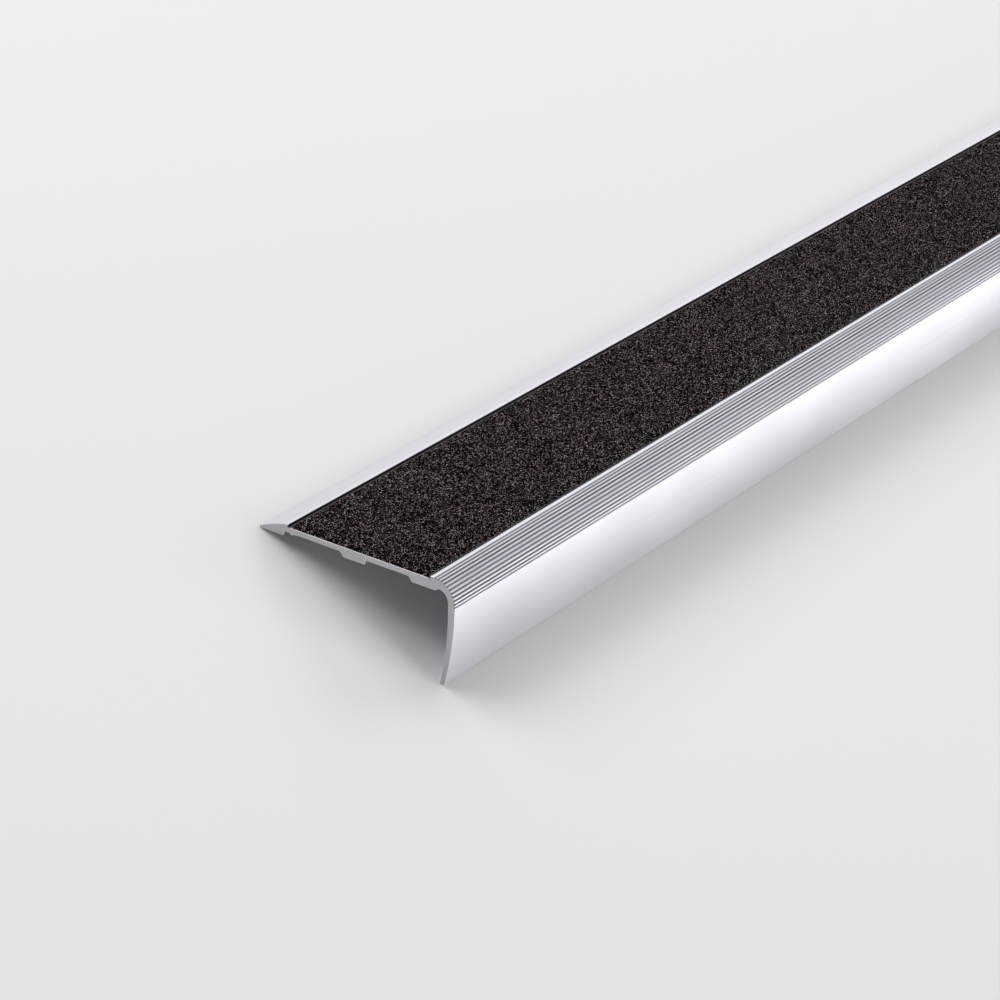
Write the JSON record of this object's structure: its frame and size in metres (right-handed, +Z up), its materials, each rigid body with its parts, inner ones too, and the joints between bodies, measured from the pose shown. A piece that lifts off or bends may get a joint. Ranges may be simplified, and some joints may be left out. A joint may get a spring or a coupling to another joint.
{
  "type": "anti-slip stair nosing",
  "caption": "Extruded aluminium stair nosing: fluted rounded nose with a drop leg, bedding feet, a feathered rear edge and a recess holding a black anti-slip grit strip.",
  "frame": {"origin": "centre of the footprint on the floor that the piece lies on", "axes": "+X along the length, +Y from the leg to the rear edge of the tread plate, +Z up. The piece lies as it rests unheld, tipped forward by 24.2 degrees about X from the way it sits on a step, on the tip of the leg and the rear edge of the plate."},
  "size_m": [1, 0.0716, 0.0304],
  "materials": {
    "aluminium": "satin natural anodised, with fine draw lines along the length and saw-cut ends",
    "grit": "black mineral grit bonded on film, with small glints"
  },
  "bodies": {
    "root": {"nosing_profile": "aluminium", "grit_strip": "grit"}
  },
  "joints": []
}
